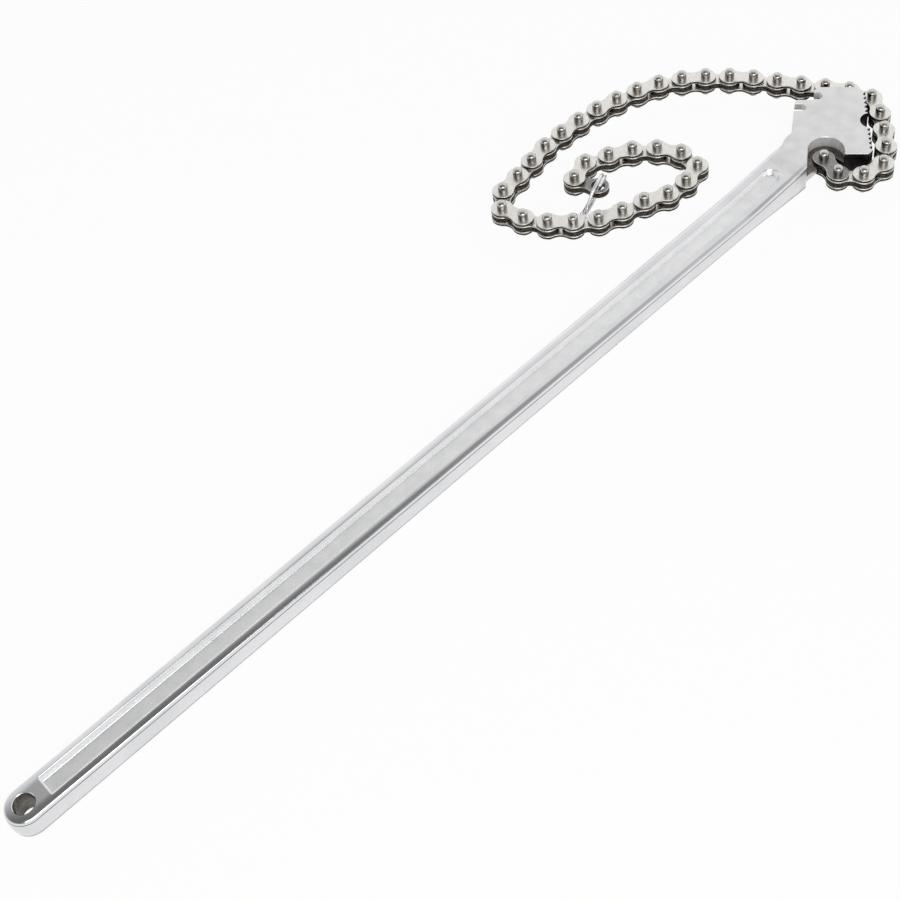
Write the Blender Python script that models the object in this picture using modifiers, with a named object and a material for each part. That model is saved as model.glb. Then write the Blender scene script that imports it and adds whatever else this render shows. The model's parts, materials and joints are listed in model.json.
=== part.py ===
"""Chain pipe wrench: a forged handle with a toothed head, a long leaf chain and a split ring.

The handle lies along X with the head towards +X, flat on the plane Z = 0, as it lies on a bench.
The origin is on the head's underside, on the handle's centre line.
"""

import math

import bmesh
import bpy
from mathutils import Matrix, Vector

MM = 0.001

# Chain: plates in four layers, held by pins that stand out on both sides to hook on the head
CHAIN_PITCH = 19.05 * MM
PLATE_END_GAP = 2.1 * MM
PLATE_WAIST = 11.4 * MM
OUTER_PLATE = 2.6 * MM
INNER_PLATES = 5.6 * MM
SIDE_PLAY = 0.3 * MM
PIN_DIAMETER = 7.4 * MM
PIN_PLAY = 0.15 * MM
PIN_STANDOUT = 6.3 * MM
PIN_CHAMFER = 0.8 * MM
PIN_SIDES = 10
PLATE_END_SIDES = 6

# How the chain lies: the first link's heading, then the turn at each following pin, in degrees
FIRST_HEADING = -109.0
TURNS_ROUND_HEAD = (56, 41, 42, 11, 4, 11, 46, 16, 1)
TURNS_ALONG_SWEEP = (-1, 1, 5, 6, 7, 9, 11, 7, 4, 6, 5, 3, 9, 0, -2)
TURNS_BACK = (34, 57, 17, 13, 10, 16, 7, -9, 22, 18)
TURNS_TO_END = (68, 33, 19, 16, 5, 42)
TONGUE_TURN = 96.0

# Split ring of two coils through the end tongue
RING_DIAMETER = 36.0 * MM
RING_WIRE = 2.5 * MM
RING_COIL_GAP = 0.2 * MM
RING_STEPS_PER_COIL = 20
RING_JOG_STEPS = 3
RING_LEAN = 20.0
RING_RISE = 26.0
# The ring lies against the links beside it: how far it may reach towards them, square to their run
RING_ROOM = 27.43 * MM
LINKS_BESIDE_RING = 230.0
TONGUE_HOLE = 10.8 * MM
RING_HOLE_SIDES = 12

# Handle: an I-section bar, wider and thinner towards the head
HANDLE_LENGTH = 720.0 * MM
GRIP_WIDTH = 25.0 * MM
NECK_WIDTH = 31.5 * MM
GRIP_THICKNESS = 19.0 * MM
NECK_THICKNESS = 16.5 * MM
EDGE_ROUND = 1.6 * MM
SIDE_DRAFT = 0.7 * MM
NOSE_SIDES = 14

# Shoulder: the handle swells along it to the head, stays a step below the head's faces and ends inside it
SHOULDER_LENGTH = 62.0 * MM
SHOULDER_STEP = 0.15 * MM
SHOULDER_X = -2.0 * CHAIN_PITCH
NECK_X = SHOULDER_X - SHOULDER_LENGTH
BAR_END_X = -1.2 * CHAIN_PITCH

HANG_HOLE = 13.0 * MM
HANG_HOLE_CHAMFER = 0.9 * MM
HANG_HOLE_SIDES = 24

# Recess in each face of the handle, with drafted walls
RECESS_DEPTH = 3.5 * MM
RECESS_DRAFT = 1.4 * MM
RECESS_LAND = 4.2 * MM
RECESS_CORNER = 4.0 * MM
RECESS_FROM_HOLE = 14.0 * MM
RECESS_SHORT_OF_HEAD = 15.0 * MM
RECESS_CORNER_SIDES = 4
RECESS_END_SIDES = 12

# Head, sized from the chain it carries: the places below are in chain pitches from the origin
NECK_REAR = (-1.07, 0.91)
REAR_EDGE = (-0.75, 0.89)
LOW_HOOK_ROOT = (0.81, 1.95)
LOW_HOOK_TIP = (1.01, 1.95)
HIGH_HOOK_ROOT = (1.40, 1.43)
HIGH_HOOK_TIP = (1.89, 1.81)
FRONT_REAR = (2.19, 1.74)
FRONT_JAW = (3.10, 0.65)
JAW_TOP = (3.14, 0.15)
JAW_FOOT = (0.51, -2.17)
TOE = (0.23, -2.18)
LIP = (-0.37, -1.47)
ANCHOR_PIN = (-0.76, -0.76)
POCKET_CENTRE = (-0.63, -0.76)
HIGH_SEAT = (1.705, 1.495)
SEAT_ROW_HEADING = 176.0
SEAT_HEADING = -50.0
SLOT_FLOOR_TURN = (2.62, 0.81)
SLOT_FLOOR_FRONT = (2.86, -0.105)

# Head sizes that follow the chain's pitch
SLOT_FLOOR = 1.0 * CHAIN_PITCH
POCKET_RADIUS = 0.735 * CHAIN_PITCH
POCKET_RUN = 2.0 * CHAIN_PITCH
POCKET_RUN_HEADING = 217.0
POCKET_SIDES = 14
LUG_RADIUS = 0.47 * CHAIN_PITCH
LUG_START = 190.0
LUG_END = 330.0
LUG_SIDES = 8
HEAD_REACH = 4.0 * CHAIN_PITCH
SEAT_SIDES = 8

SEAT_CLEARANCE = 0.4 * MM
SLOT_CLEARANCE = 0.9 * MM

# Jaw teeth in two rows on either side of a round relief
TEETH_PER_ROW = 5
TOOTH_DEPTH = 2.6 * MM
TOOTH_LEAN = 0.62
RELIEF_RADIUS = 8.7 * MM
RELIEF_OUTSET = 1.8 * MM
RELIEF_SIDES = 8

# Distance under which the points of one surface count as one
WELD = 0.002 * MM

PLATE_RADIUS = (CHAIN_PITCH - PLATE_END_GAP) / 2
CHAIN_STACK = INNER_PLATES + 2 * (SIDE_PLAY + OUTER_PLATE)
PIN_LENGTH = CHAIN_STACK + 2 * PIN_STANDOUT
MID_HEIGHT = PIN_LENGTH / 2
HEAD_THICKNESS = PIN_LENGTH
SLOT_WIDTH = CHAIN_STACK + SLOT_CLEARANCE
HOLE_X = -HANDLE_LENGTH
REACH_PAST_FACE = HEAD_THICKNESS


def clear_scene():
    for item in list(bpy.data.objects):
        bpy.data.objects.remove(item, do_unlink=True)


def collection(name):
    made = bpy.data.collections.new(name)
    bpy.context.scene.collection.children.link(made)
    return made


def material(name, colour, roughness, metallic):
    made = bpy.data.materials.new(name)
    made.use_nodes = True
    shader = made.node_tree.nodes["Principled BSDF"]
    shader.inputs["Base Color"].default_value = (*colour, 1.0)
    shader.inputs["Roughness"].default_value = roughness
    shader.inputs["Metallic"].default_value = metallic
    return made


def direction(degrees):
    return Vector((math.cos(math.radians(degrees)), math.sin(math.radians(degrees))))


def in_pitches(place):
    return Vector(place) * CHAIN_PITCH


def arc(centre, radius, start, end, sides):
    """Points of an arc, both ends included, from one angle to the other in degrees."""
    step = (end - start) / sides
    return [Vector(centre) + radius * direction(start + step * i) for i in range(sides + 1)]


def made_object(name, mesh, into):
    thing = bpy.data.objects.new(name, mesh)
    into.objects.link(thing)
    return thing


def loft(name, rings, into, cap_strips=None):
    """A closed body through rings of points that run counter-clockwise, lowest ring first.

    Each end is one flat face, or the faces that cap_strips lists by their places in the ring.
    """
    mesh = bpy.data.meshes.new(name)
    shape = bmesh.new()
    rows = [[shape.verts.new(point) for point in ring] for ring in rings]
    count = len(rows[0])
    for low, high in zip(rows, rows[1:]):
        for i in range(count):
            j = (i + 1) % count
            shape.faces.new((low[i], low[j], high[j], high[i]))
    strips = cap_strips or [range(count)]
    for strip in strips:
        shape.faces.new([rows[-1][i] for i in strip])
        shape.faces.new([rows[0][i] for i in reversed(strip)])
    shape.to_mesh(mesh)
    shape.free()
    return made_object(name, mesh, into)


def welded_mesh(thing):
    """The thing's mesh as it shows, with a curve's loose caps welded on."""
    bpy.context.view_layer.update()
    evaluated = thing.evaluated_get(bpy.context.evaluated_depsgraph_get())
    mesh = bpy.data.meshes.new_from_object(evaluated)
    shape = bmesh.new()
    shape.from_mesh(mesh)
    bmesh.ops.remove_doubles(shape, verts=shape.verts, dist=WELD)
    shape.to_mesh(mesh)
    shape.free()
    return mesh


def prism(name, outline, low, high, into):
    """A flat outline made solid between two heights."""
    curve = bpy.data.curves.new(name, "CURVE")
    curve.dimensions = "2D"
    curve.fill_mode = "BOTH"
    curve.extrude = (high - low) / 2
    spline = curve.splines.new("POLY")
    spline.points.add(len(outline) - 1)
    for item, (x, y) in zip(spline.points, outline):
        item.co = (x, y, 0.0, 1.0)
    spline.use_cyclic_u = True
    drawn = made_object(f"{name}_outline", curve, into)
    solid = made_object(name, welded_mesh(drawn), into)
    bpy.data.objects.remove(drawn)
    solid.location.z = (low + high) / 2
    return solid


def cylinder(name, centre, radius, depth, sides, into):
    """An upright cylinder about a centre given in full."""
    mesh = bpy.data.meshes.new(name)
    shape = bmesh.new()
    bmesh.ops.create_cone(
        shape, cap_ends=True, segments=sides, radius1=radius, radius2=radius, depth=depth
    )
    shape.to_mesh(mesh)
    shape.free()
    thing = made_object(name, mesh, into)
    thing.location = centre
    return thing


def turned(name, profile, sides, into):
    """A solid turned about Z from a profile of radius and height that starts and ends on the axis."""
    mesh = bpy.data.meshes.new(name)
    points = [(radius, 0.0, height) for radius, height in profile]
    mesh.from_pydata(points, [(i, i + 1) for i in range(len(points) - 1)], [])
    thing = made_object(name, mesh, into)
    screw = thing.modifiers.new("Turn about the axis", "SCREW")
    screw.steps = sides
    screw.render_steps = sides
    screw.use_merge_vertices = True
    screw.merge_threshold = WELD
    return thing


def as_cutter(tool):
    tool.hide_render = True
    tool.display_type = "WIRE"
    return tool


def combine(target, tool, operation):
    modifier = target.modifiers.new(f"{operation.title()} {tool.name}", "BOOLEAN")
    modifier.operation = operation
    modifier.object = as_cutter(tool)


def shared_mesh(thing, name):
    """The finished form as one mesh for copies to share. The form itself stays as a guide."""
    mesh = welded_mesh(as_cutter(thing))
    mesh.transform(thing.matrix_world)
    mesh.name = name
    return mesh


def smooth_round_faces(mesh, degrees=40.0):
    mesh.shade_smooth()
    mesh.set_sharp_from_angle(angle=math.radians(degrees))


def plate_outline():
    """A figure-of-eight plate from the pin at the origin to the pin one pitch along X.

    The waist's hollow arc touches both end rounds.
    """
    waist = PLATE_WAIST / 2
    hollow = (CHAIN_PITCH**2 / 4 + waist**2 - PLATE_RADIUS**2) / (2 * (PLATE_RADIUS - waist))
    touch = math.degrees(math.atan2(waist + hollow, CHAIN_PITCH / 2))
    near_end = arc((0, 0), PLATE_RADIUS, touch, 360 - touch, PLATE_END_SIDES)
    far_end = arc((CHAIN_PITCH, 0), PLATE_RADIUS, touch - 180, 180 - touch, PLATE_END_SIDES)
    return near_end + [Vector((CHAIN_PITCH / 2, -waist))] + far_end + [Vector((CHAIN_PITCH / 2, waist))]


def pin(name, x, into):
    """A chain pin along Z about the middle height, with chamfered ends."""
    radius = PIN_DIAMETER / 2
    half = PIN_LENGTH / 2
    end = radius - PIN_CHAMFER
    shoulder = half - PIN_CHAMFER
    profile = ((0, half), (end, half), (radius, shoulder), (radius, -shoulder), (end, -half), (0, -half))
    made = turned(name, profile, PIN_SIDES, into)
    made.location.x = x
    return made


def hole_radius():
    """The hole's corners stand far enough out for its flats to clear the pin at any turn."""
    return (PIN_DIAMETER / 2 + PIN_PLAY) / math.cos(math.pi / PIN_SIDES)


def pin_hole(name, x, into):
    return cylinder(name, (x, 0.0, 0.0), hole_radius(), PIN_LENGTH, PIN_SIDES, into)


def outer_plates(name, into):
    """Two plates with the inner link's space between them, as two bodies that the pins will join."""
    inside = INNER_PLATES / 2 + SIDE_PLAY
    upper = prism(name, plate_outline(), inside, inside + OUTER_PLATE, into)
    lower = prism(f"{name}_lower", plate_outline(), -inside - OUTER_PLATE, -inside, into)
    combine(upper, lower, "UNION")
    return upper


def outer_link_mesh(into):
    plates = outer_plates("outer_link_form", into)
    for end, x in (("near", 0.0), ("far", CHAIN_PITCH)):
        combine(plates, pin(f"outer_link_{end}_pin", x, into), "UNION")
    return shared_mesh(plates, "outer_link")


def anchor_link_mesh(into):
    """The first link, whose near pin is a piece of its own through the head's lug."""
    plates = outer_plates("anchor_link_form", into)
    combine(plates, pin_hole("anchor_link_hole", 0.0, into), "DIFFERENCE")
    combine(plates, pin("anchor_link_far_pin", CHAIN_PITCH, into), "UNION")
    return shared_mesh(plates, "anchor_link")


def inner_link_mesh(name, far_hole, into):
    plates = prism(f"{name}_form", plate_outline(), -INNER_PLATES / 2, INNER_PLATES / 2, into)
    combine(plates, pin_hole(f"{name}_near_hole", 0.0, into), "DIFFERENCE")
    combine(plates, far_hole, "DIFFERENCE")
    return shared_mesh(plates, name)


def tongue_mesh(into):
    place = (CHAIN_PITCH, 0.0, 0.0)
    hole = cylinder("tongue_ring_hole", place, TONGUE_HOLE / 2, PIN_LENGTH, RING_HOLE_SIDES, into)
    return inner_link_mesh("end_tongue", hole, into)


def chain_turns():
    turns = TURNS_ROUND_HEAD + TURNS_ALONG_SWEEP + TURNS_BACK + TURNS_TO_END
    return [FIRST_HEADING, *turns]


def hang_link(name, mesh, parent, place, turn, look, into):
    """A link hung on its parent's far pin and turned there, with its origin on the pin's axis."""
    link = made_object(name, mesh, into)
    link.parent = parent
    link.location = place
    link.rotation_euler = (0.0, 0.0, math.radians(turn))
    mesh.materials.clear()
    mesh.materials.append(look)
    return link


def make_chain(parts, cutters, looks):
    outer = outer_link_mesh(cutters)
    anchor = anchor_link_mesh(cutters)
    inner = inner_link_mesh("inner_link", pin_hole("inner_far_hole", CHAIN_PITCH, cutters), cutters)
    for mesh in (outer, anchor, inner):
        smooth_round_faces(mesh)
    parent = None
    place = (*in_pitches(ANCHOR_PIN), MID_HEIGHT)
    for number, turn in enumerate(chain_turns(), start=1):
        is_outer = number % 2 == 1
        mesh = anchor if number == 1 else outer if is_outer else inner
        look = looks["outer"] if is_outer else looks["inner"]
        parent = hang_link(f"chain_link_{number:02d}", mesh, parent, place, turn, look, parts)
        if number == 1:
            make_anchor_pin(parent, looks["pin"], parts)
        place = (CHAIN_PITCH, 0.0, 0.0)
    tongue = tongue_mesh(cutters)
    smooth_round_faces(tongue)
    return hang_link("end_tongue", tongue, parent, place, TONGUE_TURN, looks["tongue"], parts)


def make_anchor_pin(link, look, into):
    form = pin("anchor_pin_form", 0.0, into)
    anchor_pin = made_object("anchor_pin", shared_mesh(form, "anchor_pin"), into)
    anchor_pin.parent = link
    anchor_pin.data.materials.append(look)
    smooth_round_faces(anchor_pin.data)


def split_ring_points():
    """Two flat coils about the local Z axis, joined by a jog, with an end of the wire on each side of it.

    The jog is on the -X side, away from the tongue.
    """
    radius = (RING_DIAMETER - RING_WIRE) / 2
    coil_height = (RING_WIRE + RING_COIL_GAP) / 2
    half_length = RING_STEPS_PER_COIL - RING_JOG_STEPS
    points = []
    for step in range(-half_length, half_length + 1):
        side = direction(180.0 + 360.0 * step / RING_STEPS_PER_COIL)
        rise = max(-1.0, min(1.0, step / RING_JOG_STEPS))
        points.append((radius * side.x, radius * side.y, rise * coil_height))
    return points


def ring_heading():
    """The way the ring points from the tongue's hole, so that its far side keeps to the room it has."""
    reach = (RING_DIAMETER - RING_WIRE) * math.cos(math.radians(RING_RISE)) + RING_WIRE / 2
    return LINKS_BESIDE_RING - math.degrees(math.acos(min(1.0, RING_ROOM / reach)))


def make_split_ring(tongue, look, into):
    """The ring leans over the bench, with its wire through the tongue's hole.

    Its parent empty stands on the hole's axis, about which it swings.
    """
    curve = bpy.data.curves.new("split_ring", "CURVE")
    curve.dimensions = "3D"
    curve.bevel_depth = RING_WIRE / 2
    curve.bevel_resolution = 2
    curve.use_fill_caps = True
    points = split_ring_points()
    spline = curve.splines.new("POLY")
    spline.points.add(len(points) - 1)
    for item, point in zip(spline.points, points):
        item.co = (*point, 1.0)
    ring = made_object("split_ring", curve, into)
    curve.materials.append(look)

    bpy.context.view_layer.update()
    hinge = made_object("split_ring_hinge", None, into)
    hinge.location = tongue.matrix_world @ Vector((CHAIN_PITCH, 0.0, 0.0))
    along = direction(ring_heading()).to_3d()
    lean = math.radians(RING_LEAN)
    upward = Vector((-along.y * math.sin(lean), along.x * math.sin(lean), math.cos(lean)))
    rise = math.radians(RING_RISE)
    from_hole = along * math.cos(rise) + upward * math.sin(rise)
    normal = along.cross(upward)
    axes = Matrix((-from_hole, normal.cross(-from_hole), normal)).transposed().to_4x4()
    ring.parent = hinge
    ring.matrix_basis = Matrix.Translation(from_hole * (RING_DIAMETER - RING_WIRE) / 2) @ axes


def bar_half_width(x):
    """The handle widens evenly from the hang hole to the neck."""
    share = (x - HOLE_X) / (HANDLE_LENGTH - SHOULDER_LENGTH)
    return (GRIP_WIDTH + (NECK_WIDTH - GRIP_WIDTH) * min(share, 1.0)) / 2


def bar_ring(inset, half_thickness_at, level):
    """One ring of the handle: its outline drawn in by inset, at a share of the local thickness."""
    stations = (HOLE_X, NECK_X, SHOULDER_X, BAR_END_X)
    lower = [Vector((x, inset - bar_half_width(x))) for x in stations[1:]]
    upper = [Vector((x, bar_half_width(x) - inset)) for x in reversed(stations[1:])]
    nose = arc((HOLE_X, 0), GRIP_WIDTH / 2 - inset, 90.0, 270.0, NOSE_SIDES)
    return [(p.x, p.y, MID_HEIGHT + level(half_thickness_at(p.x))) for p in lower + upper + nose]


def bar_half_thickness(x):
    """The handle thins towards the neck, then its shoulder swells to the head."""
    if x <= NECK_X:
        share = max(x - HOLE_X, 0.0) / (NECK_X - HOLE_X)
        return (GRIP_THICKNESS + (NECK_THICKNESS - GRIP_THICKNESS) * share) / 2
    share = min((x - NECK_X) / SHOULDER_LENGTH, 1.0)
    return (NECK_THICKNESS + (HEAD_THICKNESS - SHOULDER_STEP - NECK_THICKNESS) * share) / 2


def make_bar(into):
    """The handle's blank: rounded edges, sides drafted from the parting line, flat ends hidden in the head."""
    corner = EDGE_ROUND * (1 - math.sqrt(0.5))
    steps = (
        (SIDE_DRAFT + EDGE_ROUND, lambda half: half),
        (SIDE_DRAFT + corner, lambda half: half - corner),
        (SIDE_DRAFT, lambda half: half - EDGE_ROUND),
    )
    rings = [bar_ring(inset, bar_half_thickness, lambda half, at=at: -at(half)) for inset, at in steps]
    rings.append(bar_ring(0.0, bar_half_thickness, lambda half: 0.0))
    rings += [bar_ring(inset, bar_half_thickness, at) for inset, at in reversed(steps)]
    count = len(rings[0])
    nose_strip = range(6, count)
    bar_strip = (0, 5, 6, count - 1)
    shoulder_strip = (0, 1, 4, 5)
    head_strip = (1, 2, 3, 4)
    return loft("handle", rings, into, [nose_strip, bar_strip, shoulder_strip, head_strip])


def recess_ring(inset, face):
    """The recess's outline drawn in by inset: rounded corners by the hole, a full round by the head."""
    start = HOLE_X + RECESS_FROM_HOLE + inset
    end = SHOULDER_X - RECESS_SHORT_OF_HEAD
    near_half = bar_half_width(start) - RECESS_LAND - inset
    far_half = bar_half_width(end) - RECESS_LAND - inset
    corner = RECESS_CORNER - inset
    far_centre = end - far_half - inset
    outline = arc((start + corner, corner - near_half), corner, 180.0, 270.0, RECESS_CORNER_SIDES)
    outline += arc((far_centre, 0), far_half, -90.0, 90.0, RECESS_END_SIDES)
    outline += arc((start + corner, near_half - corner), corner, 90.0, 180.0, RECESS_CORNER_SIDES)
    return [(p.x, p.y, MID_HEIGHT + face(p.x)) for p in outline]


def make_recess(side, into):
    """A cutter for one face's recess: its floor follows the handle's faces, its walls lean out."""
    past = RECESS_DEPTH + HEAD_THICKNESS / 4
    wall_slope = RECESS_DRAFT / RECESS_DEPTH

    def floor(x):
        share = (x - HOLE_X) / (SHOULDER_X - HOLE_X)
        half = (GRIP_THICKNESS + (NECK_THICKNESS - GRIP_THICKNESS) * share) / 2
        return side * (half - RECESS_DEPTH)

    deep = recess_ring(RECESS_DRAFT, floor)
    outside = recess_ring(RECESS_DRAFT - wall_slope * past, lambda x: floor(x) + side * past)
    rings = [deep, outside] if side > 0 else [outside, deep]
    return loft(f"recess_{'upper' if side > 0 else 'lower'}", rings, into)


def make_hang_hole(into):
    """The hole to hang the wrench by, countersunk from both faces."""
    half = GRIP_THICKNESS / 2
    radius = HANG_HOLE / 2
    flare = radius + HANG_HOLE_CHAMFER
    upper = ((0, REACH_PAST_FACE), (flare, REACH_PAST_FACE), (flare, half), (radius, half - HANG_HOLE_CHAMFER))
    lower = tuple((r, -height) for r, height in reversed(upper))
    tool = turned("hang_hole", upper + lower, HANG_HOLE_SIDES, into)
    tool.location = (HOLE_X, 0.0, MID_HEIGHT)
    return tool


def tooth_row(tip_start, along, inward, length):
    """Saw teeth from a tip at one end of the jaw to a root beside the relief."""
    step = length / TEETH_PER_ROW
    points = []
    for i in range(TEETH_PER_ROW):
        points.append(tip_start + along * step * i)
        points.append(tip_start + along * step * (i + TOOTH_LEAN) + inward * TOOTH_DEPTH)
    return points


def jaw_outline():
    """The jaw from its foot up to its top: teeth, the round relief and teeth that lean the other way."""
    foot = in_pitches(JAW_FOOT)
    top = in_pitches(JAW_TOP)
    along = (top - foot).normalized()
    inward = Vector((-along.y, along.x))
    middle = (foot + top) / 2 - inward * RELIEF_OUTSET
    half_chord = math.sqrt(RELIEF_RADIUS**2 - RELIEF_OUTSET**2)
    row = (top - foot).length / 2 - half_chord
    lower = tooth_row(foot, along, inward, row)
    upper = tooth_row(top, -along, inward, row)
    facing = math.degrees(math.atan2(inward.y, inward.x))
    dip = math.degrees(math.asin(RELIEF_OUTSET / RELIEF_RADIUS))
    relief = arc(middle, RELIEF_RADIUS, facing + 90 - dip, facing - 90 + dip, RELIEF_SIDES)
    return lower + relief + list(reversed(upper))


def head_outline():
    """The head's outline, counter-clockwise from the neck's lower side, with the chain's lug drawn in."""
    half_neck = NECK_WIDTH / 2
    anchor = in_pitches(ANCHOR_PIN)
    lug = arc(anchor, LUG_RADIUS, LUG_START, LUG_END, LUG_SIDES)
    lower = [Vector((SHOULDER_X, -half_neck))] + lug
    lower += [in_pitches(place) for place in (LIP, TOE)]
    front = [in_pitches(place) for place in (FRONT_JAW, FRONT_REAR)]
    hooks = [in_pitches(place) for place in (HIGH_HOOK_TIP, HIGH_HOOK_ROOT, LOW_HOOK_TIP, LOW_HOOK_ROOT)]
    rear = [in_pitches(place) for place in (REAR_EDGE, NECK_REAR)] + [Vector((SHOULDER_X, half_neck))]
    return lower + jaw_outline() + front + hooks + rear


def pocket_outline():
    """A round pocket about the anchor pin that runs out along a straight side to the handle's edge."""
    centre = in_pitches(POCKET_CENTRE)
    lip = in_pitches(LIP) - centre
    lip_angle = math.degrees(math.atan2(lip.y, lip.x))
    round_wall = arc(centre, POCKET_RADIUS, lip_angle, POCKET_RUN_HEADING - 90.0, POCKET_SIDES)
    run_out = round_wall[-1] + direction(POCKET_RUN_HEADING) * POCKET_RUN
    below = Vector((0.0, -HEAD_REACH))
    return round_wall + [run_out, run_out + below, centre + below]


def make_pocket(side, into):
    """Each face's pocket, down to the lug that stands between the first link's plates."""
    web = INNER_PLATES / 2
    low, high = sorted((side * web, side * REACH_PAST_FACE))
    name = f"pocket_{'upper' if side > 0 else 'lower'}"
    return prism(name, pocket_outline(), MID_HEIGHT + low, MID_HEIGHT + high, into)


def make_chain_slot(into):
    """The slot along the head's rear for the chain's plates, which turns down past the jaw's top tooth."""
    front = in_pitches(SLOT_FLOOR_FRONT)
    turn = in_pitches(SLOT_FLOOR_TURN)
    reach = HEAD_REACH
    corner = turn.x - (SLOT_FLOOR - turn.y)
    outline = [(-reach, SLOT_FLOOR), (corner, SLOT_FLOOR), turn, front]
    outline += [(reach, front.y), (reach, reach), (-reach, reach)]
    half = SLOT_WIDTH / 2
    return prism("chain_slot", outline, MID_HEIGHT - half, MID_HEIGHT + half, into)


def make_seat(name, seat, into):
    """A round-ended seat through both cheeks for a chain pin, open towards the rear."""
    radius = PIN_DIAMETER / 2 + SEAT_CLEARANCE
    out = -direction(SEAT_HEADING)
    closed_end = arc(seat, radius, SEAT_HEADING - 90.0, SEAT_HEADING + 90.0, SEAT_SIDES)
    mouth = [closed_end[-1] + out * CHAIN_PITCH, closed_end[0] + out * CHAIN_PITCH]
    return prism(name, closed_end + mouth, -REACH_PAST_FACE, 2 * REACH_PAST_FACE, into)


def make_handle(parts, cutters, look):
    """The forging: the bar and the head in one piece, with its recesses, pocket, slot, seats and holes."""
    handle = make_bar(parts)
    head = prism("head_form", head_outline(), 0.0, HEAD_THICKNESS, cutters)
    combine(handle, head, "UNION")
    anchor = (*in_pitches(ANCHOR_PIN), MID_HEIGHT)
    pin_bore = cylinder("anchor_pin_hole", anchor, hole_radius(), PIN_LENGTH, PIN_SIDES, cutters)
    tools = [make_recess(side, cutters) for side in (1, -1)]
    tools += [make_pocket(side, cutters) for side in (1, -1)]
    tools += [make_hang_hole(cutters), make_chain_slot(cutters), pin_bore]
    high_seat = in_pitches(HIGH_SEAT)
    low_seat = high_seat + CHAIN_PITCH * direction(SEAT_ROW_HEADING)
    tools += [make_seat("high_seat", high_seat, cutters), make_seat("low_seat", low_seat, cutters)]
    for tool in tools:
        combine(handle, tool, "DIFFERENCE")
    handle.data.materials.append(look)
    smooth_round_faces(handle.data, 30.0)


def make_looks():
    return {
        "forging": material("Nickel chrome plated forging", (0.80, 0.80, 0.81), 0.28, 1.0),
        "outer": material("Nickel plated outer links", (0.72, 0.71, 0.69), 0.35, 1.0),
        "inner": material("Steel inner links", (0.42, 0.40, 0.38), 0.40, 1.0),
        "pin": material("Polished anchor pin", (0.55, 0.54, 0.52), 0.30, 1.0),
        "tongue": material("Dark steel tongue", (0.38, 0.38, 0.40), 0.38, 1.0),
        "ring": material("Bright ring wire", (0.85, 0.85, 0.86), 0.15, 1.0),
    }


def main():
    clear_scene()
    parts = collection("chain_pipe_wrench")
    cutters = collection("cutters")
    looks = make_looks()
    make_handle(parts, cutters, looks["forging"])
    tongue = make_chain(parts, cutters, looks)
    make_split_ring(tongue, looks["ring"], parts)


main()
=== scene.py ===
"""Chain pipe wrench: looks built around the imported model, in metres, in the model's own frame."""

import json
import math

import bmesh
import bpy
import numpy as np
from mathutils import Matrix

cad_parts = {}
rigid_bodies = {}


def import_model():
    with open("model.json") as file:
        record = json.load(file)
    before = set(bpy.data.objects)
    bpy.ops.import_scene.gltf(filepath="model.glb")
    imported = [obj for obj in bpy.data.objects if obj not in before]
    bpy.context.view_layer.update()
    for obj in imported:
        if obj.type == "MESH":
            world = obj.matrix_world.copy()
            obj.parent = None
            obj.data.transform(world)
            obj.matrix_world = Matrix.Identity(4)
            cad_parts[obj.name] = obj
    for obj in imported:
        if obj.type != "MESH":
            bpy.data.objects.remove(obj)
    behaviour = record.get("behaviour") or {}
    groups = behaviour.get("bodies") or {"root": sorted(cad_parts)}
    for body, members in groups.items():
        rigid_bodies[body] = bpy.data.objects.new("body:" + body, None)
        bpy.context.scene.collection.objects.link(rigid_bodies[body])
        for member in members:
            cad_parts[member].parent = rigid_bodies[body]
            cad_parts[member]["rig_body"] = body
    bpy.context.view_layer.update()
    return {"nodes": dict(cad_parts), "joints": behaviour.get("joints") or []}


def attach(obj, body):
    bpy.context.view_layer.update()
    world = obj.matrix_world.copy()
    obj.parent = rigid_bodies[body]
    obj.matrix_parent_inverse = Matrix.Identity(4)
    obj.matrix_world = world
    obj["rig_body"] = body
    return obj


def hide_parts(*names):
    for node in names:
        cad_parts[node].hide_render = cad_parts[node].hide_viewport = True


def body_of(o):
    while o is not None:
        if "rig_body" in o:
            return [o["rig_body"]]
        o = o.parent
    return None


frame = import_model()
MM = 0.001

# Every mesh: points nearer than this are one point, and edges past this angle stay crisp
MERGE = 0.001 * MM
CRISP_ANGLE = 24.0

# Chain
PITCH = 19.05 * MM
PLATE_RADIUS = 8.42 * MM
PLATE_WAIST = 5.7 * MM
OUTER_PLATE = 2.6 * MM
INNER_PACK = 5.6 * MM
SIDE_PLAY = 0.3 * MM
PIN_RADIUS = 3.7 * MM
PIN_PLAY = 0.15 * MM
BORE_RADIUS = PIN_RADIUS + PIN_PLAY
MID_HEIGHT = 12.0 * MM
HEAD_THICKNESS = 2 * MID_HEIGHT
PIN_CROWN = 1.7 * MM
PLATE_RIM = 0.45 * MM
RIM_MARGIN = 0.15 * MM
LEAF_GROOVE = 0.5 * MM
TONGUE_HOLE = 10.8 * MM

# Chain: steps round each curve
PLATE_END_SIDES = 28
PLATE_WAIST_SIDES = 12
RIM_SIDES = 4
PIN_SIDES = 40
CROWN_SIDES = 8

# Split ring: angles in degrees, the jog's half in turns, the bulge of the wire's ends in wire radii
RING_RADIUS = 16.6 * MM
WIRE_RADIUS = 1.2 * MM
COIL_GAP = 0.2 * MM
RING_JOG = 3 / 20
RING_HEADING = 201.0
RING_LEAN = 20.0
RING_RISE = 26.0
WIRE_END_BULGE = 0.4
RING_STATIONS = 241
WIRE_SIDES = 24
WIRE_END_SIDES = 4

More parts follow.
